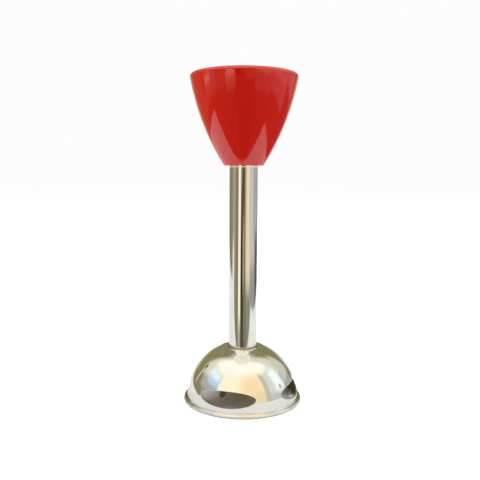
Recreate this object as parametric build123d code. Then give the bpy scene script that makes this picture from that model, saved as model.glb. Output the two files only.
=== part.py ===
from build123d import *
import math
import os

# Detachable blending leg of a hand blender, in millimetres.
# The leg stands upright on the rim of its blade guard: Z = 0 is the plane that the rim rests on, and the
# tube, the shaft and every round piece share the Z axis. The guard's windows face +X, +Y, -X and -Y.

# ------------------------------------------------------------------ driving dimensions

# shaft tube
TUBE_R = 8.0
TUBE_WALL = 0.8
TUBE_BORE_R = TUBE_R - TUBE_WALL
TUBE_BOTTOM = 27.8
TUBE_TOP = 156.0

# blade guard: a dome pressed from sheet, with a flat landing for the tube, an upright skirt and a rolled bead
GUARD_SHEET = 0.9
DOME_R = 31.9
DOME_CENTRE_Z = 0.3
LANDING_Z = 30.1
LANDING_BLEND_R = 3.0
SKIRT_TOP_Z = 8.0
SKIRT_BOTTOM_Z = 2.4
SKIRT_TURN_R = 8.0
SKIRT_LEAN_DEG = 4.0
FLARE_R = 0.8
FLARE_DEG = 60.0
BEAD_R = 1.05
BEAD_CENTRE_R = 32.3
BEAD_CENTRE_Z = 1.0
WINDOW_COUNT = 4
WINDOW_Z = 8.7
WINDOW_HALF_WIDTH = 15.3
WINDOW_HALF_HEIGHT = 4.15
WINDOW_EDGE_R = 0.2

# braze fillet between tube and guard
WELD_WIDTH = 0.6
WELD_HEIGHT = 0.5
WELD_HOLLOW = 0.38

# coupling cone: its flank is one circular arc that bulges outwards
CONE_BOTTOM_Z = 132.2
CONE_BOTTOM_R = 11.0
CONE_TOP_Z = 182.5
CONE_TOP_R = 30.35
CONE_FLANK_R = 133.7
CONE_WALL = 2.2
CONE_FLOOR = 3.0
CONE_RIM_R = 1.7
CONE_LIP_R = 0.35
LEDGE_R = 25.6
LEDGE_HEIGHT = 1.5

# socket insert, which takes the motor unit's nose
SOCKET_R = 21.0
SOCKET_FLOOR_Z = 168.0
SOCKET_FLOOR = 3.5
SOCKET_MOUTH_Z = 181.3
SOCKET_MOUTH_CHAMFER = 0.5
SOCKET_OUTER_R = 23.4
SOCKET_FLOOR_GAP = 0.4
FLANGE_R = 27.2
FLANGE = 2.0
TRACK_COUNT = 3
TRACK_R = 22.4
TRACK_ENTRY_DEG = 14
TRACK_RUN_DEG = 26
TRACK_RUN_LOW_Z = 170.5
TRACK_RUN_HIGH_Z = 174.0
WELL_R = 8.6
HUB_R = 10.8
HUB_BOTTOM_Z = 143.0
KEY_WIDTH = 3.0
KEY_DEPTH = 6.0

# screws that hold the insert to the cone's bosses
SCREW_COUNT = 3
SCREW_CIRCLE_R = 14.5
SCREW_FIRST_DEG = 90
SCREW_R = 1.5
SCREW_LENGTH = 12.0
SCREW_HEAD_R = 2.7
SCREW_HEAD = 1.5
SCREW_SEAT_Z = 166.2
SCREW_HEAD_GAP = 0.2
SCREW_SLOT = 0.8
SCREW_SLOT_LENGTH = 3.8
BOSS_R = 3.2

# tube fittings in the cone
O_RING_R = 0.95
RETAINER_Z = 141.8
RETAINER = 1.2
RETAINER_GROOVE = 0.4
RETAINER_R = 10.2
RETAINER_GAP_DEG = 50

# bearings
SHAFT_R = 2.0
RUNNING_GAP = 0.04
BUSH_R = 4.0
CARRIER_BOTTOM_Z = 145.0
CARRIER_TOP_Z = 157.2
CARRIER_FLANGE_R = 8.4
UPPER_BUSH_BOTTOM_Z = 147.0
UPPER_BUSH_TOP_Z = 157.4
STEADY_BOTTOM_Z = 88.0
STEADY_TOP_Z = 96.0
STEADY_CORE_R = 4.5
STEADY_END = 1.5
HOUSING_TOP_Z = 40.0
HOUSING_BOTTOM_Z = 17.5
HOUSING_HEAD_R = 9.4
HOUSING_NOSE_R = 7.6
HOUSING_SHOULDER = 3.0
HOUSING_CHAMFER = 0.8
SEAL_POCKET_R = 5.5
SEAL_TOP_Z = 21.5
SEAL_WALL = 1.4
SEAL_WEB_Z = 19.9
SEAL_LIP = 0.6
SEAL_LIP_TIP_Z = 17.9
SEAL_LIP_LAND = 0.6
LAND_R = 3.0
LOWER_BUSH_BOTTOM_Z = 23.5
LOWER_BUSH_TOP_Z = 33.5
FELT_TOP_Z = 36.5
FELT_BORE_R = 2.3
FELT_WASHER = 0.6
FELT_WASHER_BORE_R = 2.7
HOUSING_O_RING_Z = 33.0
HOUSING_O_RING_R = 0.7
SEAL_CAP_SHEET = 0.5
SEAL_CAP_TOP_Z = 21.0
SEAL_CAP_HOLE_R = 2.8

# rotor: shaft, dog, blade and what holds them
SHAFT_BOTTOM_Z = 6.6
SHAFT_TOP_Z = 164.8
THREAD_TOP_Z = 11.4
SHAFT_FLAT = 1.6
CIRCLIP_Z = 158.2
CIRCLIP = 0.6
CIRCLIP_GROOVE = 0.4
CIRCLIP_R = 3.2
CIRCLIP_GAP_DEG = 70
THRUST_WASHER = 0.5
UPPER_THRUST_Z = 157.6
UPPER_THRUST_R = 4.2
DOG_BOTTOM_Z = 159.2
DOG_COLLAR_TOP_Z = 162.0
DOG_TOP_Z = 166.4
DOG_COLLAR_R = 5.4
DOG_TIP_R = 5.2
DOG_ROOT_R = 3.8
DOG_LOBES = 6
DOG_LOBE_R = 1.15
DOG_CHAMFER = 0.6
PIN_R = 0.75
PIN_HALF_LENGTH = 5.2
PIN_Z = 160.6

# blade
BLADE_SHEET = 1.2
BLADE_Z = 10.8
BLADE_DISC_R = 6.0
BLADE_REST_DEG = 244
BLADE_TIP_REACH = 17.6
BLADE_ROOT_REACH = 4.4
BLADE_ROOT_WIDTH = 8.0
BLADE_TIP_WIDTH = 4.2
BLADE_SWEEP = 1.4
BLADE_DROP = 6.2
BLADE_RISE = 3.6
BLADE_BEND_POWER = 1.6
BLADE_TIP_PITCH_DEG = 12
BLADE_STATIONS = 5
EDGE_BEVEL = 2.0
EDGE_LAND = 0.12
BLADE_HUB_R = 4.2
BLADE_HUB_TOP_Z = 16.0
BLADE_HUB_FLANGE = 1.4
BLADE_HUB_COLLAR = 1.0
BLADE_HUB_WAIST_R = 3.4
LOWER_THRUST_R = 4.6
NUT_ACROSS_FLATS = 7.0
NUT_HEX = 2.8
NUT_DOME_FOOT_R = 3.1
NUT_CORNER_CHAMFER = 0.5
NUT_BOTTOM_Z = 4.9


# ------------------------------------------------------------------ helpers


def disc(radius, low, high):
    """A solid cylinder on the Z axis, between two heights."""
    return Pos(0, 0, (low + high) / 2) * Cylinder(radius, high - low)


def ring(inner, outer, low, high):
    """A plain ring on the Z axis, between two heights."""
    return disc(outer, low, high) - disc(inner, low, high)


def turned(*edges):
    """A solid turned about the Z axis from a closed outline of edges drawn as (radius, height)."""
    return revolve(Plane.XZ * make_face(edges), Axis.Z)


def turned_polygon(*points):
    """A solid turned about the Z axis from straight-sided (radius, height) corners."""
    return turned(*Polyline(*points, close=True).edges())


def around(shape, count, first_deg=0.0):
    """Copies of a shape, evenly spaced about the Z axis."""
    return [Rot(0, 0, first_deg + 360 * i / count) * shape for i in range(count)]


def sector(inner, outer, low, high, start_deg, sweep_deg):
    """The part of a ring between two angles."""
    reach = 2 * outer
    end_deg = start_deg + sweep_deg
    corners = [(0, 0)]
    for angle in (start_deg, (start_deg + end_deg) / 2, end_deg):
        corners.append((reach * math.cos(math.radians(angle)), reach * math.sin(math.radians(angle))))
    wedge = extrude(make_face(Polyline(*corners, close=True).edges()), amount=high - low)
    return ring(inner, outer, low, high) & (Pos(0, 0, low) * wedge)


def along(angle_deg, length):
    """A step in an outline's own plane, at an angle above the outward direction."""
    angle = math.radians(angle_deg)
    return Vector(length * math.cos(angle), length * math.sin(angle))


def o_ring(centre_r, section_r, centre_z):
    """An O-ring about the Z axis."""
    return Pos(0, 0, centre_z) * Torus(centre_r, section_r)


# ------------------------------------------------------------------ blade guard and tube


def guard_line(inset):
    """The guard's outer line, moved inwards by inset, from the tube to the rim bead."""
    dome_r = DOME_R - inset
    blend_r = LANDING_BLEND_R - inset
    landing_z = LANDING_Z - inset
    blend_z = landing_z - blend_r
    # the blend touches the flat landing and the inside of the dome's circle
    blend_centre_r = math.sqrt((dome_r - blend_r) ** 2 - (blend_z - DOME_CENTRE_Z) ** 2)
    blend_deg = math.degrees(math.atan2(blend_z - DOME_CENTRE_Z, blend_centre_r))
    landing = Line((TUBE_R, landing_z), (blend_centre_r, landing_z))
    blend = CenterArc((blend_centre_r, blend_z), blend_r, 90, blend_deg - 90)
    # the dome turns into the nearly upright skirt along a tighter arc
    turn_deg = math.degrees(math.asin((SKIRT_TOP_Z - DOME_CENTRE_Z) / DOME_R))
    dome = CenterArc((0, DOME_CENTRE_Z), dome_r, blend_deg, turn_deg - blend_deg)
    turn_centre = along(turn_deg, DOME_R - SKIRT_TURN_R) + Vector(0, DOME_CENTRE_Z)
    turn = CenterArc(turn_centre, SKIRT_TURN_R - inset, turn_deg, SKIRT_LEAN_DEG - turn_deg)
    skirt_length = (turn_centre + along(SKIRT_LEAN_DEG, SKIRT_TURN_R)).Y - SKIRT_BOTTOM_Z
    skirt = Line(turn @ 1, turn @ 1 + along(SKIRT_LEAN_DEG - 90, skirt_length))
    # the flare hollows outwards and ends inside the bead
    flare_centre = skirt @ 1 + along(SKIRT_LEAN_DEG, FLARE_R + inset)
    flare = CenterArc(flare_centre, FLARE_R + inset, 180 + SKIRT_LEAN_DEG, FLARE_DEG)
    return [landing, blend, dome, turn, skirt, flare]


def blade_guard():
    outer = guard_line(0.0)
    inner = guard_line(GUARD_SHEET)
    hole_side = Line(outer[0] @ 0, inner[0] @ 0)
    bead_side = Line(outer[-1] @ 1, inner[-1] @ 1)
    guard = turned(*outer, *inner, hole_side, bead_side)
    bead = Pos(0, 0, BEAD_CENTRE_Z) * Torus(BEAD_CENTRE_R, BEAD_R)
    # the bead is ground flat where it rests
    guard += bead & disc(2 * DOME_R, 0, 2 * BEAD_CENTRE_Z + BEAD_R)
    outline = Plane.YZ * Pos(0, WINDOW_Z) * Ellipse(WINDOW_HALF_WIDTH, WINDOW_HALF_HEIGHT)
    window = extrude(outline, amount=2 * DOME_R)
    for cutter in around(window, WINDOW_COUNT):
        guard -= cutter
    # only the windows' edges are neither circles nor straight seams
    plain_edges = (GeomType.CIRCLE, GeomType.LINE)
    window_edges = [edge for edge in guard.edges() if edge.geom_type not in plain_edges]
    return fillet(window_edges, WINDOW_EDGE_R)


def shaft_tube():
    tube = ring(TUBE_BORE_R, TUBE_R, TUBE_BOTTOM, TUBE_TOP)
    tube -= ring(TUBE_R - RETAINER_GROOVE, 2 * TUBE_R, RETAINER_Z, RETAINER_Z + RETAINER)
    # a notch in the top end takes the key of the socket insert, so that the tube can't turn
    notch = Pos(TUBE_R, 0, TUBE_TOP - KEY_DEPTH / 2) * Box(2 * TUBE_WALL + 1, KEY_WIDTH, KEY_DEPTH)
    return tube - notch


def weld_ring():
    """A small fillet of braze with a hollow face, in the corner between tube and landing."""
    return turned_polygon(
        (TUBE_R, LANDING_Z),
        (TUBE_R + WELD_WIDTH, LANDING_Z),
        (TUBE_R + WELD_HOLLOW * WELD_WIDTH, LANDING_Z + WELD_HOLLOW * WELD_HEIGHT),
        (TUBE_R, LANDING_Z + WELD_HEIGHT),
    )


# ------------------------------------------------------------------ coupling cone and what it holds


def cone_flank_centre():
    """Centre of the flank's arc, as (radius, height), on the axis side of its chord."""
    chord_r = CONE_TOP_R - CONE_BOTTOM_R
    chord_z = CONE_TOP_Z - CONE_BOTTOM_Z
    chord = math.hypot(chord_r, chord_z)
    rise = math.sqrt(CONE_FLANK_R ** 2 - (chord / 2) ** 2)
    centre_r = (CONE_TOP_R + CONE_BOTTOM_R) / 2 - rise * chord_z / chord
    centre_z = (CONE_TOP_Z + CONE_BOTTOM_Z) / 2 + rise * chord_r / chord
    return centre_r, centre_z


def cone_radius(z, inset=0.0):
    """Radius of the cone's flank at a height, or of the line that lies inset inside it."""
    centre_r, centre_z = cone_flank_centre()
    return centre_r + math.sqrt((CONE_FLANK_R - inset) ** 2 - (z - centre_z) ** 2)


def cone_flank(low, high, inset=0.0):
    """The flank's arc between two heights."""
    points = [(cone_radius(z, inset), z) for z in (low, (low + high) / 2, high)]
    return ThreePointArc(*points)


def cone_solid(low, inset=0.0):
    """Everything within the flank, or within the line inset from it, from a height to the top."""
    flank = cone_flank(low, CONE_TOP_Z, inset)
    return turned(
        flank,
        Line(flank @ 1, (0, CONE_TOP_Z)),
        Line((0, CONE_TOP_Z), (0, low)),
        Line((0, low), flank @ 0),
    )


def coupling_cone():
    outside = cone_solid(CONE_BOTTOM_Z)
    outside = fillet(outside.edges().group_by(Axis.Z)[-1], CONE_RIM_R)
    floor_z = CONE_BOTTOM_Z + CONE_FLOOR
    hollow = cone_solid(floor_z, CONE_WALL)
    # a ledge carries the flange of the socket insert
    ledge_top = SOCKET_MOUTH_Z - FLANGE
    hollow -= ring(LEDGE_R, CONE_TOP_R, ledge_top - LEDGE_HEIGHT, ledge_top)
    boss = Pos(SCREW_CIRCLE_R, 0, 0) * disc(BOSS_R, floor_z, SOCKET_FLOOR_Z - SOCKET_FLOOR)
    for post in around(boss, SCREW_COUNT, SCREW_FIRST_DEG):
        hollow -= post
    cone = outside - hollow
    mouth_edge = cone.edges().filter_by(GeomType.CIRCLE).group_by(Axis.Z)[-1].sort_by(SortBy.LENGTH)[0]
    cone = fillet(mouth_edge, CONE_LIP_R)
    screw_hole = Pos(SCREW_CIRCLE_R, 0, 0) * disc(SCREW_R, SCREW_SEAT_Z - SCREW_LENGTH, SCREW_SEAT_Z)
    for hole in around(screw_hole, SCREW_COUNT, SCREW_FIRST_DEG):
        cone -= hole
    return cone - disc(TUBE_R, CONE_BOTTOM_Z - 1, floor_z + 1)


def bayonet_track():
    """One L-shaped track: an entry slot down from the mouth, then a short run around the bore."""
    entry = sector(SOCKET_R - 1, TRACK_R, TRACK_RUN_LOW_Z, SOCKET_MOUTH_Z + 1, 0, TRACK_ENTRY_DEG)
    run = sector(SOCKET_R - 1, TRACK_R, TRACK_RUN_LOW_Z, TRACK_RUN_HIGH_Z, 0, TRACK_RUN_DEG)
    return entry + run


def socket_insert():
    underside_z = SOCKET_FLOOR_Z - SOCKET_FLOOR
    chamfer_z = SOCKET_MOUTH_Z - SOCKET_MOUTH_CHAMFER
    insert = turned_polygon(
        (TUBE_R, HUB_BOTTOM_Z),
        (HUB_R, HUB_BOTTOM_Z),
        (HUB_R, underside_z),
        (cone_radius(underside_z, CONE_WALL) - SOCKET_FLOOR_GAP, underside_z),
        (SOCKET_OUTER_R, SOCKET_FLOOR_Z),
        (SOCKET_OUTER_R, SOCKET_MOUTH_Z - FLANGE),
        (FLANGE_R, SOCKET_MOUTH_Z - FLANGE),
        (FLANGE_R, SOCKET_MOUTH_Z),
        (SOCKET_R + SOCKET_MOUTH_CHAMFER, SOCKET_MOUTH_Z),
        (SOCKET_R, chamfer_z),
        (SOCKET_R, SOCKET_FLOOR_Z),
        (WELL_R, SOCKET_FLOOR_Z),
        (WELL_R, TUBE_TOP),
        (TUBE_R, TUBE_TOP),
    )
    for track in around(bayonet_track(), TRACK_COUNT):
        insert -= track
    screw_way = disc(SCREW_R, underside_z - 1, SOCKET_FLOOR_Z)
    screw_way += disc(SCREW_HEAD_R + SCREW_HEAD_GAP, SCREW_SEAT_Z, SOCKET_FLOOR_Z + 1)
    for way in around(Pos(SCREW_CIRCLE_R, 0, 0) * screw_way, SCREW_COUNT, SCREW_FIRST_DEG):
        insert -= way
    # the key fills the notch in the tube's top end
    key = Pos(TUBE_R, 0, TUBE_TOP - KEY_DEPTH / 2) * Box(2 * TUBE_WALL, KEY_WIDTH, KEY_DEPTH)
    key -= disc(TUBE_BORE_R, HUB_BOTTOM_Z, TUBE_TOP + 1)
    return insert + key


def socket_screws():
    head_top = SCREW_SEAT_Z + SCREW_HEAD
    screw = disc(SCREW_R, SCREW_SEAT_Z - SCREW_LENGTH, SCREW_SEAT_Z)
    screw += disc(SCREW_HEAD_R, SCREW_SEAT_Z, head_top)
    slot = Box(SCREW_SLOT_LENGTH, SCREW_SLOT, SCREW_HEAD)
    cross = Pos(0, 0, head_top) * (slot + Rot(0, 0, 90) * slot)
    screw = Pos(SCREW_CIRCLE_R, 0, 0) * (screw - cross)
    return Compound(children=around(screw, SCREW_COUNT, SCREW_FIRST_DEG))


def collar_o_ring():
    return o_ring(TUBE_R + O_RING_R, O_RING_R, CONE_BOTTOM_Z + CONE_FLOOR + O_RING_R)


def tube_retaining_ring():
    inner_r = TUBE_R - RETAINER_GROOVE
    top_z = RETAINER_Z + RETAINER
    gap = sector(TUBE_R / 2, 2 * RETAINER_R, RETAINER_Z, top_z, -RETAINER_GAP_DEG / 2, RETAINER_GAP_DEG)
    return ring(inner_r, RETAINER_R, RETAINER_Z, top_z) - gap


# ------------------------------------------------------------------ bearings and seals


def upper_bearing_carrier():
    return turned_polygon(
        (LAND_R, CARRIER_BOTTOM_Z),
        (TUBE_BORE_R, CARRIER_BOTTOM_Z),
        (TUBE_BORE_R, TUBE_TOP),
        (CARRIER_FLANGE_R, TUBE_TOP),
        (CARRIER_FLANGE_R, CARRIER_TOP_Z),
        (BUSH_R, CARRIER_TOP_Z),
        (BUSH_R, UPPER_BUSH_BOTTOM_Z),
        (LAND_R, UPPER_BUSH_BOTTOM_Z),
    )


def bush(outer_r, low, high):
    return ring(SHAFT_R + RUNNING_GAP, outer_r, low, high)


def upper_bush():
    return bush(BUSH_R, UPPER_BUSH_BOTTOM_Z, UPPER_BUSH_TOP_Z)


def steady_bush():
    """A bobbin: full width only at its ends, where it grips the tube."""
    steady = bush(TUBE_BORE_R, STEADY_BOTTOM_Z, STEADY_TOP_Z)
    return steady - ring(STEADY_CORE_R, TUBE_R, STEADY_BOTTOM_Z + STEADY_END, STEADY_TOP_Z - STEADY_END)


def lower_bush():
    return bush(BUSH_R, LOWER_BUSH_BOTTOM_Z, LOWER_BUSH_TOP_Z)


def lower_bearing_housing():
    """A plug in the tube's end, with a wider head under the guard and a nose for the seal cap."""
    housing = turned_polygon(
        (SEAL_POCKET_R, HOUSING_BOTTOM_Z),
        (HOUSING_NOSE_R, HOUSING_BOTTOM_Z),
        (HOUSING_NOSE_R, SEAL_CAP_TOP_Z),
        (HOUSING_HEAD_R, SEAL_CAP_TOP_Z + HOUSING_SHOULDER),
        (HOUSING_HEAD_R, TUBE_BOTTOM),
        (TUBE_BORE_R, TUBE_BOTTOM),
        (TUBE_BORE_R, HOUSING_TOP_Z - HOUSING_CHAMFER),
        (TUBE_BORE_R - HOUSING_CHAMFER, HOUSING_TOP_Z),
        (BUSH_R, HOUSING_TOP_Z),
        (BUSH_R, LOWER_BUSH_BOTTOM_Z),
        (LAND_R, LOWER_BUSH_BOTTOM_Z),
        (LAND_R, SEAL_TOP_Z),
        (SEAL_POCKET_R, SEAL_TOP_Z),
    )
    groove_r = TUBE_BORE_R - 2 * HOUSING_O_RING_R
    groove_low = HOUSING_O_RING_Z - HOUSING_O_RING_R
    groove_high = HOUSING_O_RING_Z + HOUSING_O_RING_R
    return housing - ring(groove_r, TUBE_R, groove_low, groove_high)


def housing_o_ring():
    return o_ring(TUBE_BORE_R - HOUSING_O_RING_R, HOUSING_O_RING_R, HOUSING_O_RING_Z)


def oil_felt():
    return ring(FELT_BORE_R, BUSH_R, LOWER_BUSH_TOP_Z, FELT_TOP_Z)


def felt_retaining_washer():
    return ring(FELT_WASHER_BORE_R, BUSH_R, FELT_TOP_Z, FELT_TOP_Z + FELT_WASHER)


def shaft_lip_seal():
    """A rubber ring whose lip leans down along the shaft."""
    lip_r = SHAFT_R + RUNNING_GAP
    return turned_polygon(
        (SEAL_POCKET_R, HOUSING_BOTTOM_Z),
        (SEAL_POCKET_R, SEAL_TOP_Z),
        (lip_r + SEAL_LIP, SEAL_TOP_Z),
        (lip_r, SEAL_LIP_TIP_Z + SEAL_LIP_LAND),
        (lip_r, SEAL_LIP_TIP_Z),
        (lip_r + SEAL_LIP, SEAL_LIP_TIP_Z),
        (lip_r + 2 * SEAL_LIP, SEAL_WEB_Z),
        (SEAL_POCKET_R - SEAL_WALL, SEAL_WEB_Z),
        (SEAL_POCKET_R - SEAL_WALL, HOUSING_BOTTOM_Z),
    )


def seal_cap():
    """A cup pressed from sheet, over the housing's nose."""
    cap_r = HOUSING_NOSE_R + SEAL_CAP_SHEET
    cap_bottom = HOUSING_BOTTOM_Z - SEAL_CAP_SHEET
    cup = disc(cap_r, cap_bottom, SEAL_CAP_TOP_Z)
    cup = fillet(cup.edges().group_by(Axis.Z)[0], SEAL_CAP_SHEET)
    cup -= disc(HOUSING_NOSE_R, HOUSING_BOTTOM_Z, SEAL_CAP_TOP_Z)
    return cup - disc(SEAL_CAP_HOLE_R, cap_bottom, HOUSING_BOTTOM_Z)


# ------------------------------------------------------------------ rotor


def drive_shaft():
    shaft = disc(SHAFT_R, SHAFT_BOTTOM_Z, SHAFT_TOP_Z)
    shaft -= ring(SHAFT_R - CIRCLIP_GROOVE, 2 * SHAFT_R, CIRCLIP_Z, CIRCLIP_Z + CIRCLIP)
    shaft -= dog_cross_pin()
    # two flats on the lower end stop the blade turning on the shaft
    flat_height = THREAD_TOP_Z - SHAFT_BOTTOM_Z
    flat_z = (THREAD_TOP_Z + SHAFT_BOTTOM_Z) / 2
    for side in (-1, 1):
        shaft -= Pos(side * (SHAFT_FLAT + SHAFT_R), 0, flat_z) * Box(2 * SHAFT_R, 4 * SHAFT_R, flat_height)
    return shaft


def dog_star():
    """The dog's outline: a round core with rounded lobes."""
    star = Circle(DOG_ROOT_R)
    lobe = Pos(DOG_TIP_R - DOG_LOBE_R, 0) * Circle(DOG_LOBE_R)
    web = Pos((DOG_TIP_R - DOG_LOBE_R) / 2, 0) * Rectangle(DOG_TIP_R - DOG_LOBE_R, 2 * DOG_LOBE_R)
    for i in range(DOG_LOBES):
        star += Rot(0, 0, 360 * i / DOG_LOBES) * (lobe + web)
    return star


def drive_dog():
    dog = disc(DOG_COLLAR_R, DOG_BOTTOM_Z, DOG_COLLAR_TOP_Z)
    star = Pos(0, 0, DOG_COLLAR_TOP_Z) * extrude(dog_star(), amount=DOG_TOP_Z - DOG_COLLAR_TOP_Z)
    # a turned cone trims the lobes' tops, which leads the motor unit's socket on
    lead_in = turned_polygon(
        (0, DOG_COLLAR_TOP_Z),
        (DOG_TIP_R + 0.1, DOG_COLLAR_TOP_Z),
        (DOG_TIP_R + 0.1, DOG_TOP_Z - 2 * DOG_CHAMFER),
        (DOG_TIP_R - DOG_CHAMFER, DOG_TOP_Z),
        (0, DOG_TOP_Z),
    )
    dog += star & lead_in
    dog -= disc(SHAFT_R, DOG_BOTTOM_Z, SHAFT_TOP_Z)
    return dog - dog_cross_pin()


def dog_cross_pin():
    return Pos(0, 0, PIN_Z) * Rot(0, 90, 0) * Cylinder(PIN_R, 2 * PIN_HALF_LENGTH)


def upper_thrust_washer():
    return ring(SHAFT_R, UPPER_THRUST_R, UPPER_THRUST_Z, UPPER_THRUST_Z + THRUST_WASHER)


def shaft_circlip():
    clip = ring(SHAFT_R - CIRCLIP_GROOVE, CIRCLIP_R, CIRCLIP_Z, CIRCLIP_Z + CIRCLIP)
    return clip - sector(0.1, 2 * CIRCLIP_R, CIRCLIP_Z, CIRCLIP_Z + CIRCLIP, 0, CIRCLIP_GAP_DEG)


def lower_thrust_washer():
    return ring(SHAFT_R, LOWER_THRUST_R, BLADE_HUB_TOP_Z, BLADE_HUB_TOP_Z + THRUST_WASHER)


def blade_hub():
    hub = ring(SHAFT_R, BLADE_HUB_R, THREAD_TOP_Z, BLADE_HUB_TOP_Z)
    waist_low = THREAD_TOP_Z + BLADE_HUB_FLANGE
    waist_high = BLADE_HUB_TOP_Z - BLADE_HUB_COLLAR
    return hub - ring(BLADE_HUB_WAIST_R, 2 * BLADE_HUB_R, waist_low, waist_high)


def wing_section(progress, climb):
    """The wing's cross-section at progress 0 (root) to 1 (tip): a strip, bevelled to a sharp leading edge."""
    span = BLADE_TIP_REACH - BLADE_ROOT_REACH
    reach = BLADE_ROOT_REACH + progress * span
    height = BLADE_Z + climb * progress ** BLADE_BEND_POWER
    slope = climb * BLADE_BEND_POWER * progress ** (BLADE_BEND_POWER - 1) / span
    slope_deg = math.degrees(math.atan(slope))
    half = (BLADE_ROOT_WIDTH + progress ** 2 * (BLADE_TIP_WIDTH - BLADE_ROOT_WIDTH)) / 2
    swept = BLADE_SWEEP * math.sin(math.pi * progress)
    top = BLADE_SHEET / 2
    corners = [
        (half, -top),
        (half, top),
        (EDGE_BEVEL - half, top),
        (-half, EDGE_LAND - top),
        (-half, -top),
    ]
    section = make_face(Polyline(*corners, close=True).edges())
    place = Pos(reach, -swept, height) * Rot(0, -slope_deg, 0) * Rot(progress * BLADE_TIP_PITCH_DEG, 0, 0)
    return place * (Plane.YZ * section)


def wing(climb):
    sections = [wing_section(i / (BLADE_STATIONS - 1), climb) for i in range(BLADE_STATIONS)]
    return loft(sections)


def blade():
    low = BLADE_Z - BLADE_SHEET / 2
    high = BLADE_Z + BLADE_SHEET / 2
    plate = disc(BLADE_DISC_R, low, high) + wing(-BLADE_DROP) + Rot(0, 0, 180) * wing(BLADE_RISE)
    # the hole has the same two flats as the shaft's end
    flats = Pos(0, 0, BLADE_Z) * Box(2 * SHAFT_FLAT, 4 * SHAFT_R, 4 * BLADE_SHEET)
    return plate - (disc(SHAFT_R, low - 1, high + 1) & flats)


def blade_nut():
    """A domed hexagon nut, closed at its lower end."""
    top_z = BLADE_Z - BLADE_SHEET / 2
    hex_low = top_z - NUT_HEX
    corner_r = NUT_ACROSS_FLATS / math.sqrt(3)
    hexagon = Pos(0, 0, hex_low) * extrude(RegularPolygon(corner_r, 6), amount=NUT_HEX)
    # the hexagon's lower corners are chamfered
    hexagon &= turned_polygon(
        (0, hex_low),
        (NUT_ACROSS_FLATS / 2, hex_low),
        (corner_r, hex_low + NUT_CORNER_CHAMFER),
        (corner_r, top_z),
        (0, top_z),
    )
    dome_r = (NUT_DOME_FOOT_R ** 2 + (hex_low - NUT_BOTTOM_Z) ** 2) / (2 * (hex_low - NUT_BOTTOM_Z))
    dome = Pos(0, 0, NUT_BOTTOM_Z + dome_r) * Sphere(dome_r) & disc(dome_r, NUT_BOTTOM_Z, hex_low)
    return hexagon + dome - disc(SHAFT_R, SHAFT_BOTTOM_Z, top_z)


# ------------------------------------------------------------------ build

STATIC_PIECES = [
    coupling_cone,
    socket_insert,
    socket_screws,
    collar_o_ring,
    tube_retaining_ring,
    shaft_tube,
    upper_bearing_carrier,
    upper_bush,
    steady_bush,
    lower_bearing_housing,
    housing_o_ring,
    lower_bush,
    oil_felt,
    felt_retaining_washer,
    shaft_lip_seal,
    seal_cap,
    blade_guard,
    weld_ring,
]

# these turn together on the shaft, and are drawn with the down-bent wing along +X
ROTOR_PIECES = [
    drive_shaft,
    drive_dog,
    dog_cross_pin,
    upper_thrust_washer,
    shaft_circlip,
    lower_thrust_washer,
    blade_hub,
    blade,
    blade_nut,
]

os.makedirs("parts", exist_ok=True)
for piece in STATIC_PIECES:
    export_step(piece(), f"parts/{piece.__name__}.step")
for piece in ROTOR_PIECES:
    export_step(Rot(0, 0, BLADE_REST_DEG) * piece(), f"parts/{piece.__name__}.step")
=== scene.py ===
import math

import bpy
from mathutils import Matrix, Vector

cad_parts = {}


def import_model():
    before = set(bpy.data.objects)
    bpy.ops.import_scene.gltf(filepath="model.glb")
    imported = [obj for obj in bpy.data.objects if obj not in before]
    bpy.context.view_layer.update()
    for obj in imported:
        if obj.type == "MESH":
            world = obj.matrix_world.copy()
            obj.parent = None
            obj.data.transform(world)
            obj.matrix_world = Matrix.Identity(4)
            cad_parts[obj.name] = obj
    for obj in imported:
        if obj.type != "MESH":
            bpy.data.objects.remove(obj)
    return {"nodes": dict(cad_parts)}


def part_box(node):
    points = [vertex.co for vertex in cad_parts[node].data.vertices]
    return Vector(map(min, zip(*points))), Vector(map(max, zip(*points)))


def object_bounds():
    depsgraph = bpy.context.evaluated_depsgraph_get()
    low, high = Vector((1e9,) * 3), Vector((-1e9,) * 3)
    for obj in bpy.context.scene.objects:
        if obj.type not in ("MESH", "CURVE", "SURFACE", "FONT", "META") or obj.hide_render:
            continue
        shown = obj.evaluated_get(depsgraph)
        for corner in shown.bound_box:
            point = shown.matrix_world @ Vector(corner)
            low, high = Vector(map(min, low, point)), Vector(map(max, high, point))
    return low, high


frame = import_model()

# The looks of a hand blender's blending leg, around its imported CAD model. Metres, in the CAD's own frame:
# the leg stands on Z = 0 about the Z axis, and the guard's windows face +X, +Y, -X and -Y.

cad_low, cad_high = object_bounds()
NODES = frame["nodes"]

# ------------------------------------------------------------------ camera

CAMERA_AZIMUTH = math.radians(16.5)
CAMERA_DISTANCE = 0.344
CAMERA_HEIGHT = 0.126
CAMERA_LENS = 45.96
CAMERA_PITCH = math.radians(3.81)
CAMERA_YAW = math.radians(0.34)
CAMERA_ROLL = math.radians(-0.35)
CAMERA_SHIFT_Y = -0.047

# ------------------------------------------------------------------ floor and light

PALE = (0.98, 0.98, 0.98)
FLOOR_HALF = 6.0
# The floor is this far under the leg, and the table as far under the floor, so that no faces coincide.
STAGE_GAP = 0.0001

# Daylight on matt surfaces, from high up and from near the horizon, where it comes off the walls.
# The two tints together light a level white surface evenly white.
DAYLIGHT = (1.028, 1.078, 1.154)
LOW_DAYLIGHT = (0.88, 0.66, 0.33)
# The sines of the elevations between which one turns into the other.
DAYLIGHT_BLEND = (0.25, 0.6)

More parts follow.
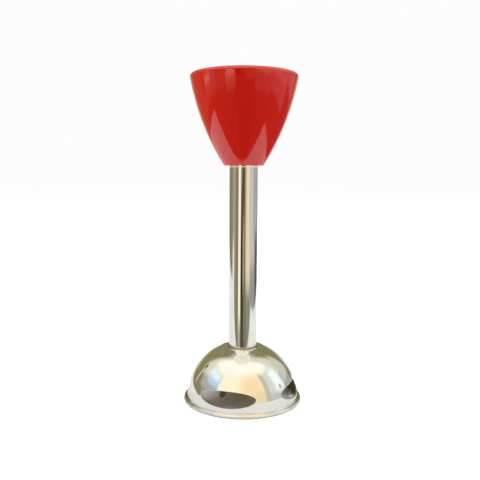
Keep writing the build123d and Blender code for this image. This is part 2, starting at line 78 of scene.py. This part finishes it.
# Soft lights: metres in front of the leg, metres to the right, height, size and watts.
LIGHTS = {
    "left": (0.10, -0.9, 0.75, 0.7, 4.0),
    "right": (0.05, 0.9, 0.75, 0.7, 3.5),
    "top": (-0.05, 0.0, 1.3, 0.8, 18.0),
}

# ------------------------------------------------------------------ table and room, seen in reflections

# Corners of the white table, each as metres in front of the leg and metres to the right.
TABLE_WHITE = (0.845, 0.84, 0.81)
TABLE_CORNERS = [(0.060, -0.42), (0.072, -0.10), (0.118, 0.24), (-0.75, 0.24), (-0.75, -0.42)]

# The glowing disc at the cone's foot, a painted reflection of plain ceiling for the dome: how far under the
# foot it is, and its number of corners.
CEILING = (0.97, 0.94, 0.76)
REFLECTION_DISC_GAP = 0.0005
REFLECTION_DISC_CORNERS = 48

# The room where no patch is painted.
OLIVE = (0.22, 0.195, 0.095)
OLIVE_LIGHT = (0.34, 0.30, 0.155)

# Patches of the room, painted in this order. Each has its azimuth range, counted in degrees from the
# camera's side towards the right, its elevation range, the softness of its edges in both, and its colour.
ROOM = {
    "ceiling behind": ((-400, 400), (68, 95), (1, 12), CEILING),
    "upper wall, both sides": ((-129, 131), (23, 95), (7, 6), (0.84, 0.80, 0.63)),
    "ceiling in front": ((-117, 104), (47, 95), (8, 8), (1.17, 1.16, 1.02)),
    "left shelf": ((-108, -58), (11, 27), (6, 4), (0.47, 0.49, 0.47)),
    "far left wall": ((-96, -58), (-14, 12), (2, 3), (0.42, 0.39, 0.27)),
    "left window, foot": ((-92, -58), (24, 38), (5, 5), (0.60, 0.78, 0.97)),
    "left window": ((-103, -64), (34, 46), (6, 4), (0.92, 1.09, 1.19)),
    "cream wall": ((-58, 56), (-30, 62), (3, 9), (1.22, 1.08, 0.80)),
    "cream wall, warmer right": ((-4, 56), (-30, 56), (18, 12), (1.13, 0.89, 0.53)),
    "cream wall, low": ((28, 56), (-30, 22), (8, 8), (0.96, 0.82, 0.52)),
    "door post": ((-66, -39.5), (-60, 12), (2, 2), (0.25, 0.235, 0.18)),
    "right wall": ((57, 106), (-8, 50), (3, 6), (0.86, 0.88, 0.84)),
    "right wall, low": ((57, 84), (-8, 12), (3, 4), (0.66, 0.67, 0.66)),
    "curtain hem": ((51, 62), (-9, 54), (3, 4), (0.64, 0.60, 0.48)),
    "right window": ((78, 104), (12, 44), (5, 5), (1.08, 1.17, 1.19)),
    "window sill": ((84, 134), (-6.5, 8), (3, 2), (0.42, 0.46, 0.48)),
    "window frame": ((104, 118), (10, 28), (3, 4), (0.56, 0.62, 0.68)),
    "window latch": ((89, 94), (13, 18), (1.5, 1.5), (0.16, 0.18, 0.20)),
    "far door": ((116, 140), (10, 40), (3, 5), (0.70, 0.69, 0.62)),
    "lamp": ((-126, -120), (24, 30), (1.5, 1.5), (0.05, 0.04, 0.03)),
    "lamp foot": ((-123.5, -121), (5, 24), (1, 3), (0.95, 0.92, 0.80)),
    "backdrop, left": ((-200, -146), (-30, 7), (5, 5), (0.60, 0.56, 0.41)),
    "backdrop, right": ((150, 200), (-30, 7), (5, 5), (0.80, 0.78, 0.72)),
    "floor": ((-146, 150), (-95, -17), (3, 1.5), (0.15, 0.13, 0.075)),
    "far right floor": ((57, 108), (-17, -8.5), (4, 1), (0.33, 0.35, 0.36)),
    "right corner": ((108, 148), (-30, -5.5), (3, 1), (0.10, 0.11, 0.10)),
    "floor by the wall, left": ((-39, -10), (-20, -13.5), (2, 1.2), (0.42, 0.39, 0.29)),
    "floor by the wall, right": ((10, 60), (-20, -10.5), (5, 1), (0.30, 0.28, 0.20)),
    "second table": ((-94, -79), (-9.8, -6.2), (2, 0.6), (1.00, 0.99, 0.93)),
    "someone standing": ((-20, 24), (-60, 15), (3, 6), (0.10, 0.085, 0.055)),
    "their collar": ((-20, -9), (-1.2, 5), (3, 1), (0.30, 0.28, 0.18)),
    "their raised arm": ((-40, -18), (4, 14), (3, 3), (0.24, 0.21, 0.13)),
    "their dark sleeve": ((-20, -7), (-13, -4), (3, 2), (0.030, 0.022, 0.008)),
    "their light shirt": ((-3, 7), (-10.5, -4), (3, 1.5), (0.48, 0.41, 0.31)),
    "their side": ((13, 25), (-10.5, 2), (4, 2), (0.58, 0.50, 0.34)),
    "their pale shoes": ((4, 24), (-16, -11), (6, 1), (0.25, 0.24, 0.17)),
}

# A curtain with upright folds beside the right window: its azimuths, its elevations and the width of a
# fold, in degrees, and how much its folds show.
CURTAIN_AZIMUTHS = (57, 84)
CURTAIN_ELEVATIONS = (2, 50)
CURTAIN_FOLD = 4.6
CURTAIN_DEPTH = 0.55
CURTAIN_SHADOW = (0.40, 0.39, 0.36)


# ------------------------------------------------------------------ node helpers


class Nodes:
    """Adds nodes to a node tree and links them, one short call for each."""

    def __init__(self, tree):
        self.tree = tree

    def add(self, kind, **settings):
        node = self.tree.nodes.new(kind)
        for name, value in settings.items():
            setattr(node, name, value)
        return node

    def feed(self, socket, value):
        """Links an input, or sets the input's own value."""
        if isinstance(value, bpy.types.NodeSocket):
            self.tree.links.new(value, socket)
        elif socket.type == "RGBA":
            socket.default_value = (*value, 1.0)
        else:
            socket.default_value = value

    def math(self, operation, *values):
        node = self.add("ShaderNodeMath", operation=operation)
        for socket, value in zip(node.inputs, values):
            self.feed(socket, value)
        return node.outputs[0]

    def smooth(self, value, low, high):
        """0 below low, 1 above high, and smooth between them."""
        node = self.add("ShaderNodeMapRange", interpolation_type="SMOOTHSTEP")
        self.feed(node.inputs["Value"], value)
        node.inputs["From Min"].default_value = low
        node.inputs["From Max"].default_value = high
        return node.outputs["Result"]

    def span(self, value, from_low, from_high, to_low, to_high):
        """A value moved from one range to another, and kept inside it."""
        node = self.add("ShaderNodeMapRange")
        self.feed(node.inputs["Value"], value)
        limits = {"From Min": from_low, "From Max": from_high, "To Min": to_low, "To Max": to_high}
        for name, number in limits.items():
            node.inputs[name].default_value = number
        return node.outputs["Result"]

    def band(self, value, low, high, blur):
        """1 between low and high, 0 outside, with soft edges."""
        rise = self.smooth(value, low - blur, low + blur)
        fall = self.smooth(value, high - blur, high + blur)
        return self.math("SUBTRACT", rise, fall)

    def mix(self, factor, a, b):
        node = self.add("ShaderNodeMix", data_type="RGBA")
        self.feed(node.inputs[0], factor)
        self.feed(node.inputs[6], a)
        self.feed(node.inputs[7], b)
        return node.outputs[2]

    def noise(self, vector, scale, detail=2.0, roughness=0.5):
        node = self.add("ShaderNodeTexNoise")
        self.feed(node.inputs["Vector"], vector)
        node.inputs["Scale"].default_value = scale
        node.inputs["Detail"].default_value = detail
        node.inputs["Roughness"].default_value = roughness
        return node.outputs["Fac"]

    def place(self):
        """The part's own coordinates, in metres."""
        return self.add("ShaderNodeTexCoord").outputs["Object"]

    def stretched(self, scales):
        """The part's own coordinates, scaled along each axis."""
        node = self.add("ShaderNodeMapping")
        self.feed(node.inputs["Vector"], self.place())
        node.inputs["Scale"].default_value = scales
        return node.outputs[0]

    def turned_lines(self, across):
        """Coordinates for lathe marks: fast to change with radius and height, and slow around the axis."""
        split = self.add("ShaderNodeSeparateXYZ")
        self.feed(split.inputs[0], self.place())
        x, y, z = split.outputs
        squares = self.math("ADD", self.math("MULTIPLY", x, x), self.math("MULTIPLY", y, y))
        radius = self.math("SQRT", squares)
        angle = self.math("ARCTAN2", y, x)
        join = self.add("ShaderNodeCombineXYZ")
        self.feed(join.inputs[0], self.math("MULTIPLY", radius, across))
        self.feed(join.inputs[1], self.math("MULTIPLY", z, across))
        self.feed(join.inputs[2], angle)
        return join.outputs[0]

    def facing_inwards(self):
        """1 where a surface faces the part's own origin, as the inside of a dome does, and 0 outside."""
        dot = self.add("ShaderNodeVectorMath", operation="DOT_PRODUCT")
        coordinates = self.add("ShaderNodeTexCoord").outputs
        self.feed(dot.inputs[0], coordinates["Object"])
        self.feed(dot.inputs[1], coordinates["Normal"])
        return self.math("LESS_THAN", dot.outputs["Value"], 0.0)

    def bump(self, height, distance, strength=1.0, normal=None):
        node = self.add("ShaderNodeBump")
        self.feed(node.inputs["Height"], height)
        node.inputs["Distance"].default_value = distance
        node.inputs["Strength"].default_value = strength
        if normal is not None:
            self.feed(node.inputs["Normal"], normal)
        return node.outputs[0]


# ------------------------------------------------------------------ room, table and light


def room_colour(n):
    """The room's colour for the direction that is looked in."""
    turned = n.add("ShaderNodeVectorRotate", rotation_type="Z_AXIS")
    n.feed(turned.inputs["Vector"], n.add("ShaderNodeTexCoord").outputs["Generated"])
    turned.inputs["Angle"].default_value = -CAMERA_AZIMUTH
    split = n.add("ShaderNodeSeparateXYZ")
    n.feed(split.inputs[0], turned.outputs[0])
    across, away, up = split.outputs
    to_degrees = 180 / math.pi
    azimuth = n.math("MULTIPLY", n.math("ARCTAN2", across, n.math("MULTIPLY", away, -1.0)), to_degrees)
    elevation = n.math("MULTIPLY", n.math("ARCSINE", up), to_degrees)
    colour = n.mix(n.noise(turned.outputs[0], 5.0, 3.0), OLIVE, OLIVE_LIGHT)
    for azimuths, elevations, (azimuth_blur, elevation_blur), patch in ROOM.values():
        wide = n.band(azimuth, *azimuths, azimuth_blur)
        high = n.band(elevation, *elevations, elevation_blur)
        colour = n.mix(n.math("MULTIPLY", wide, high), colour, patch)
    return n.mix(curtain_folds(n, azimuth, elevation), colour, CURTAIN_SHADOW)


def curtain_folds(n, azimuth, elevation):
    """How much of the curtain's shadow colour each direction gets."""
    wave = n.math("SINE", n.math("MULTIPLY", azimuth, 2 * math.pi / CURTAIN_FOLD))
    wide = n.band(azimuth, *CURTAIN_AZIMUTHS, 3)
    high = n.band(elevation, *CURTAIN_ELEVATIONS, 6)
    return n.math("MULTIPLY", n.math("MULTIPLY", wide, high), n.span(wave, 0.2, 1.0, 0.0, CURTAIN_DEPTH))


def daylight(n):
    """White light from high up, and dimmer, warmer light from near and under the horizon."""
    split = n.add("ShaderNodeSeparateXYZ")
    n.feed(split.inputs[0], n.add("ShaderNodeTexCoord").outputs["Generated"])
    return n.mix(n.smooth(split.outputs[2], *DAYLIGHT_BLEND), LOW_DAYLIGHT, DAYLIGHT)


def world():
    """The eye sees a plain pale backdrop, matt surfaces get soft daylight, and gloss shows the room."""
    made = bpy.data.worlds.new("room")
    made.use_nodes = True
    bpy.context.scene.world = made
    made.node_tree.nodes.clear()
    n = Nodes(made.node_tree)
    rays = n.add("ShaderNodeLightPath").outputs
    shown = n.mix(rays["Is Glossy Ray"], daylight(n), room_colour(n))
    shown = n.mix(rays["Is Camera Ray"], shown, PALE)
    background = n.add("ShaderNodeBackground")
    n.feed(background.inputs["Color"], shown)
    n.feed(n.add("ShaderNodeOutputWorld").inputs["Surface"], background.outputs[0])


def camera_side(forward, across, height=0.0):
    """A point, from its distance in front of the leg towards the camera, and its distance to the right."""
    x = forward * math.sin(CAMERA_AZIMUTH) + across * math.cos(CAMERA_AZIMUTH)
    y = -forward * math.cos(CAMERA_AZIMUTH) + across * math.sin(CAMERA_AZIMUTH)
    return Vector((x, y, height))


def sheet(name, corners, material):
    """A flat stage piece."""
    mesh = bpy.data.meshes.new(name)
    mesh.from_pydata(corners, [], [range(len(corners))])
    mesh.materials.append(material)
    piece = bpy.data.objects.new(name, mesh)
    bpy.context.scene.collection.objects.link(piece)
    return piece


def matt(name, colour):
    material = bpy.data.materials.new(name)
    material.use_nodes = True
    inputs = material.node_tree.nodes["Principled BSDF"].inputs
    inputs["Base Color"].default_value = (*colour, 1.0)
    inputs["Roughness"].default_value = 0.8
    inputs["Specular IOR Level"].default_value = 0.0
    return material


def floor():
    """An endless pale floor for the eye, and the small white table that the steel reflects."""
    level = cad_low.z - STAGE_GAP
    half = FLOOR_HALF
    corners = [(-half, -half, level), (half, -half, level), (half, half, level), (-half, half, level)]
    seen = sheet("floor", corners, matt("floor_white", PALE))
    seen.visible_glossy = False
    seen.visible_diffuse = False
    corners = [camera_side(*corner, level - STAGE_GAP) for corner in TABLE_CORNERS]
    table = sheet("table_top", corners, matt("table_white", TABLE_WHITE))
    table.visible_camera = False


def glow_downwards(name, colour):
    """Glows on its lower side, and lets rays from above through."""
    material = bpy.data.materials.new(name)
    material.use_nodes = True
    material.node_tree.nodes.clear()
    n = Nodes(material.node_tree)
    glow = n.add("ShaderNodeEmission")
    glow.inputs["Color"].default_value = (*colour, 1.0)
    either = n.add("ShaderNodeMixShader")
    n.feed(either.inputs[0], n.add("ShaderNodeNewGeometry").outputs["Backfacing"])
    n.feed(either.inputs[1], glow.outputs[0])
    n.feed(either.inputs[2], n.add("ShaderNodeBsdfTransparent").outputs[0])
    n.feed(n.add("ShaderNodeOutputMaterial").inputs["Surface"], either.outputs[0])
    return material


def painted_dome_reflection():
    """A glowing disc at the cone's foot that only mirror rays meet: a painted reflection, so that the dome
    shows plain ceiling there in place of the cone.
    """
    cone_low, cone_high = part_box("coupling_cone")
    radius = cone_high[0]
    height = cone_low[2] - REFLECTION_DISC_GAP
    corners = []
    for step in range(REFLECTION_DISC_CORNERS):
        # clockwise from above, so that the disc faces down
        angle = -2 * math.pi * step / REFLECTION_DISC_CORNERS
        corners.append((radius * math.cos(angle), radius * math.sin(angle), height))
    # the disc glows in the ceiling's colour: a painted reflection, not a lamp
    disc = sheet("painted_reflection_disc", corners, glow_downwards("painted_reflection_glow", CEILING))
    disc.visible_camera = False
    disc.visible_diffuse = False
    disc.visible_transmission = False
    disc.visible_shadow = False


def soft_light(name, forward, across, height, size, power):
    """A square light that points at the middle of the leg, and isn't mirrored in it."""
    place = camera_side(forward, across, height)
    light = bpy.data.lights.new(name, "AREA")
    light.size = size
    light.energy = power
    lamp = bpy.data.objects.new(name, light)
    lamp.location = place
    aim = Vector((0.0, 0.0, cad_high.z / 2)) - place
    lamp.rotation_euler = aim.to_track_quat("-Z", "Y").to_euler()
    lamp.visible_glossy = False
    bpy.context.scene.collection.objects.link(lamp)


def camera():
    made = bpy.data.objects.new("camera", bpy.data.cameras.new("camera"))
    bpy.context.scene.collection.objects.link(made)
    made.data.lens = CAMERA_LENS
    made.data.shift_y = CAMERA_SHIFT_Y
    made.data.clip_start = 0.01
    made.location = camera_side(CAMERA_DISTANCE, 0.0, CAMERA_HEIGHT)
    made.rotation_euler = (math.pi / 2 - CAMERA_PITCH, CAMERA_ROLL, CAMERA_AZIMUTH + CAMERA_YAW)
    bpy.context.scene.camera = made


# ------------------------------------------------------------------ materials


def surface(name, metallic=0.0):
    """A new material: itself, its nodes and the inputs of its shader."""
    material = bpy.data.materials.new(name)
    material.use_nodes = True
    inputs = material.node_tree.nodes["Principled BSDF"].inputs
    inputs["Metallic"].default_value = metallic
    return material, Nodes(material.node_tree), inputs


def polished_steel():
    """Stainless, buffed outside with fine lathe marks and wiped smears, and rougher inside, with a darker,
    brownish colour there that is painted shade.
    """
    material, n, inputs = surface("polished_steel", metallic=1.0)
    smear = n.noise(n.stretched((60.0, 60.0, 25.0)), 1.0, 4.0, 0.6)
    buffed = n.mix(smear, (0.81, 0.80, 0.77), (0.87, 0.865, 0.84))
    # painted shade: the inside gets a darker, brownish colour that stands in for the shade inside the dome
    painted_inside_shade = n.mix(smear, (0.42, 0.34, 0.19), (0.54, 0.45, 0.28))
    inside = n.facing_inwards()
    n.feed(inputs["Base Color"], n.mix(inside, buffed, painted_inside_shade))
    lines = n.noise(n.turned_lines(4500.0), 1.0, 3.0, 0.7)
    rough = n.math("ADD", n.span(smear, 0.35, 0.75, 0.04, 0.09), n.span(lines, 0.3, 0.7, 0.0, 0.05))
    n.feed(inputs["Roughness"], n.math("ADD", rough, n.math("MULTIPLY", inside, 0.16)))
    n.feed(inputs["Normal"], n.bump(lines, 0.000004, 0.5))
    return material


def weld_steel():
    """Braze and heat-stained steel at the joint."""
    material, n, inputs = surface("weld_steel", metallic=1.0)
    stain = n.noise(n.place(), 900.0, 4.0, 0.6)
    n.feed(inputs["Base Color"], n.mix(stain, (0.20, 0.17, 0.13), (0.42, 0.39, 0.33)))
    n.feed(inputs["Roughness"], n.span(stain, 0.3, 0.7, 0.28, 0.5))
    n.feed(inputs["Normal"], n.bump(stain, 0.00004, 0.6))
    return material


def shaft_steel():
    """Ground bar."""
    material, n, inputs = surface("shaft_steel", metallic=1.0)
    lines = n.noise(n.turned_lines(9000.0), 1.0, 2.0, 0.6)
    n.feed(inputs["Base Color"], n.mix(lines, (0.52, 0.52, 0.51), (0.64, 0.64, 0.62)))
    n.feed(inputs["Roughness"], n.span(lines, 0.3, 0.7, 0.18, 0.30))
    n.feed(inputs["Normal"], n.bump(lines, 0.000006, 0.6))
    return material


def blade_steel():
    """Stamped blade stock: ground all one way, with the odd scratch."""
    material, n, inputs = surface("blade_steel", metallic=1.0)
    grain = n.noise(n.stretched((5200.0, 900.0, 2600.0)), 1.0, 3.0, 0.6)
    scratch = n.noise(n.stretched((300.0, 2400.0, 300.0)), 1.0, 4.0, 0.75)
    n.feed(inputs["Base Color"], n.mix(grain, (0.58, 0.58, 0.57), (0.72, 0.72, 0.70)))
    rough = n.math("ADD", n.span(grain, 0.3, 0.7, 0.14, 0.24), n.span(scratch, 0.6, 0.8, 0.0, 0.2))
    n.feed(inputs["Roughness"], rough)
    n.feed(inputs["Normal"], n.bump(grain, 0.000008, 0.6))
    return material


def fastener_steel():
    """Zinc-plated fasteners."""
    material, n, inputs = surface("fastener_steel", metallic=1.0)
    bloom = n.noise(n.place(), 1400.0, 3.0, 0.6)
    n.feed(inputs["Base Color"], n.mix(bloom, (0.50, 0.50, 0.46), (0.66, 0.66, 0.63)))
    n.feed(inputs["Roughness"], n.span(bloom, 0.3, 0.7, 0.25, 0.42))
    n.feed(inputs["Normal"], n.bump(bloom, 0.00001, 0.4))
    return material


def bronze():
    """Sintered bronze, full of small oily pores."""
    material, n, inputs = surface("bronze", metallic=1.0)
    pores = n.noise(n.place(), 6000.0, 3.0, 0.7)
    n.feed(inputs["Base Color"], n.mix(n.smooth(pores, 0.35, 0.5), (0.12, 0.07, 0.03), (0.50, 0.31, 0.14)))
    n.feed(inputs["Roughness"], n.span(pores, 0.3, 0.7, 0.55, 0.32))
    n.feed(inputs["Normal"], n.bump(pores, 0.00003, 0.5))
    return material


def red_plastic():
    """Glossy moulded red, with faint sink ripples, handling haze and a few hairline scratches."""
    material, n, inputs = surface("red_plastic")
    cloud = n.noise(n.place(), 40.0, 3.0)
    n.feed(inputs["Base Color"], n.mix(cloud, (0.52, 0.0024, 0.0017), (0.58, 0.0036, 0.0026)))
    haze = n.noise(n.place(), 160.0, 5.0, 0.65)
    scratch = n.noise(n.stretched((2600.0, 2600.0, 180.0)), 1.0, 4.0, 0.8)
    rough = n.math("ADD", n.span(haze, 0.35, 0.75, 0.05, 0.13), n.span(scratch, 0.68, 0.80, 0.0, 0.15))
    n.feed(inputs["Roughness"], rough)
    ripple = n.bump(n.noise(n.place(), 110.0, 2.0), 0.00006, 0.5)
    n.feed(inputs["Normal"], n.bump(scratch, 0.000004, 0.3, ripple))
    inputs["IOR"].default_value = 1.8
    return material


def textured_plastic(name, dark, light, rough, grain_size, grain_depth):
    """Moulded plastic or rubber with a fine spark-eroded grain and soft cloudy wear."""
    material, n, inputs = surface(name)
    cloud = n.noise(n.place(), 220.0, 4.0, 0.6)
    grain = n.noise(n.place(), 1.0 / grain_size, 2.0, 0.5)
    n.feed(inputs["Base Color"], n.mix(cloud, dark, light))
    n.feed(inputs["Roughness"], n.span(cloud, 0.3, 0.7, *rough))
    n.feed(inputs["Normal"], n.bump(grain, grain_depth, 0.6))
    return material


def seal_rubber():
    return textured_plastic(
        "seal_rubber", dark=(0.012, 0.012, 0.012), light=(0.028, 0.028, 0.027),
        rough=(0.50, 0.68), grain_size=0.00018, grain_depth=0.00002,
    )


def dark_plastic():
    return textured_plastic(
        "dark_plastic", dark=(0.022, 0.022, 0.024), light=(0.040, 0.040, 0.042),
        rough=(0.34, 0.48), grain_size=0.00025, grain_depth=0.00002,
    )


def bearing_plastic():
    return textured_plastic(
        "bearing_plastic", dark=(0.66, 0.64, 0.57), light=(0.76, 0.74, 0.68),
        rough=(0.32, 0.45), grain_size=0.0004, grain_depth=0.00001,
    )


def dog_plastic():
    return textured_plastic(
        "dog_plastic", dark=(0.26, 0.26, 0.25), light=(0.33, 0.33, 0.32),
        rough=(0.35, 0.50), grain_size=0.0004, grain_depth=0.00001,
    )


def felt():
    """Pressed wool felt, darkened by oil."""
    material, n, inputs = surface("felt")
    fibre = n.noise(n.place(), 5000.0, 5.0, 0.8)
    n.feed(inputs["Base Color"], n.mix(fibre, (0.16, 0.13, 0.08), (0.42, 0.37, 0.28)))
    n.feed(inputs["Roughness"], n.span(fibre, 0.3, 0.7, 0.85, 1.0))
    n.feed(inputs["Normal"], n.bump(fibre, 0.00012, 0.9))
    inputs["Sheen Weight"].default_value = 0.4
    return material


MATERIALS = [
    polished_steel, weld_steel, shaft_steel, blade_steel, fastener_steel, bronze,
    red_plastic, dark_plastic, bearing_plastic, dog_plastic, seal_rubber, felt,
]


def dress():
    """Gives every CAD part the material that its slot is named after."""
    made = {build.__name__: build() for build in MATERIALS}
    for node in NODES.values():
        for slot in node.material_slots:
            slot.material = made[slot.material.name.split(".")[0]]


# ------------------------------------------------------------------ the scene

bpy.context.scene.view_settings.view_transform = "Standard"
world()
floor()
# a glowing disc that paints a reflection of plain ceiling into the dome
painted_dome_reflection()
for name, light in LIGHTS.items():
    soft_light(name, *light)
camera()
dress()
